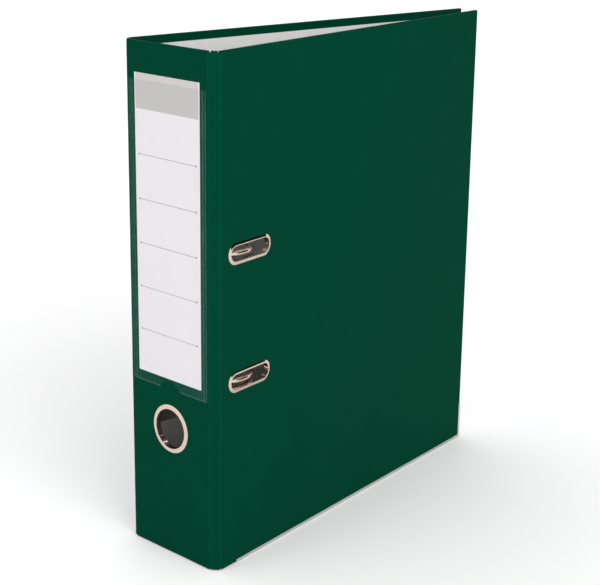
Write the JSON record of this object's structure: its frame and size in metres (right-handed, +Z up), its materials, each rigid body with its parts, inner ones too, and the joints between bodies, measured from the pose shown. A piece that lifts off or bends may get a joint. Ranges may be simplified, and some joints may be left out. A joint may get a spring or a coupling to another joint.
{
  "type": "lever arch file",
  "caption": "Lever arch file for punched sheets: board covers in green film, a spine with a label pocket and finger ring, front slots, and a lever-worked arch mechanism inside.",
  "frame": {"origin": "centre of the closed file's box, on the surface it stands on", "axes": "+X from the rear cover to the front cover, +Y from the spine to the fore edge, +Z up along the file's height"},
  "size_m": [0.08, 0.2842, 0.32],
  "materials": {
    "cover_film": "fine-grained satin polypropylene film, dark green",
    "grey_board": "grey board",
    "lining_paper": "white lining paper",
    "edge_steel": "thin bright steel strip",
    "nickel_plate": "bright nickel plate",
    "spring_steel": "tempered spring steel",
    "clip_steel": "satin steel",
    "clear_film": "clear glossy film",
    "label_paper": "white printed card"
  },
  "bodies": {
    "spine": {"spine_film": "cover_film", "spine_board": "grey_board", "spine_lining": "lining_paper", "finger_ring": "nickel_plate", "finger_ring_washer": "nickel_plate", "label_pocket": "clear_film", "label_insert": "label_paper"},
    "rear_strip": {"rear_strip_film": "cover_film", "rear_strip_board": "grey_board", "rear_strip_lining": "lining_paper"},
    "front_strip": {"front_strip_film": "cover_film", "front_strip_board": "grey_board", "front_strip_lining": "lining_paper"},
    "front_cover": {"front_film": "cover_film", "front_board": "grey_board", "front_lining": "lining_paper", "front_edge_guard": "edge_steel", "slot_eyelets": "nickel_plate", "slot_backing_plates": "nickel_plate"},
    "rear_cover": {"rear_film": "cover_film", "rear_board": "grey_board", "rear_lining": "lining_paper", "rear_edge_guard": "edge_steel", "base_plate": "nickel_plate", "base_rivets": "nickel_plate", "posts": "nickel_plate", "lever_bracket": "nickel_plate", "lever_pin": "nickel_plate", "leaf_spring": "spring_steel"},
    "arch": {"arch_wire": "nickel_plate"},
    "lever": {"lever": "nickel_plate", "lever_roller": "nickel_plate", "roller_pin": "nickel_plate"},
    "compressor": {"compressor_bar": "nickel_plate", "compressor_clips": "clip_steel"}
  },
  "joints": [
    {"name": "rear_cover_fold", "type": "hinge", "parent": "rear_strip", "child": "rear_cover", "pos_m": [-0.04, -0.13647, 0.16], "axis": [0, 0, 1], "range_deg": [0, 51.5]},
    {"name": "rear_spine_fold", "type": "hinge", "parent": "spine", "child": "rear_strip", "pos_m": [-0.035, -0.14147, 0.16], "axis": [0, 0, 1], "range_deg": [0, 45.01]},
    {"name": "front_cover_fold", "type": "hinge", "parent": "front_strip", "child": "front_cover", "pos_m": [0.04, -0.13647, 0.16], "axis": [0, 0, -1], "range_deg": [0, 51.5]},
    {"name": "front_spine_fold", "type": "hinge", "parent": "spine", "child": "front_strip", "pos_m": [0.035, -0.14147, 0.16], "axis": [0, 0, -1], "range_deg": [0, 45.01]},
    {"name": "arch_swing", "type": "hinge", "parent": "rear_cover", "child": "arch", "pos_m": [-0.03049, -0.12547, 0.1578], "axis": [0, 0, -1], "range_deg": [0, 45.01]},
    {"name": "lever_lift", "type": "hinge", "parent": "rear_cover", "child": "lever", "pos_m": [-0.02464, -0.105, 0.1578], "axis": [0, 0, 1], "range_deg": [0, 90.02]},
    {"name": "compressor_slide", "type": "slide", "parent": "rear_cover", "child": "compressor", "axis": [0.9936, -0.1132, 0], "range_m": [0, 0.034]}
  ],
  "couplings": [
    {"joint": "rear_spine_fold", "follows": "rear_cover_fold", "ratio": 0.87379},
    {"joint": "front_spine_fold", "follows": "front_cover_fold", "ratio": 0.87379},
    {"joint": "arch_swing", "follows": "rear_cover_fold", "ratio": 0.87379},
    {"joint": "lever_lift", "follows": "rear_cover_fold", "ratio": 1.7476}
  ]
}
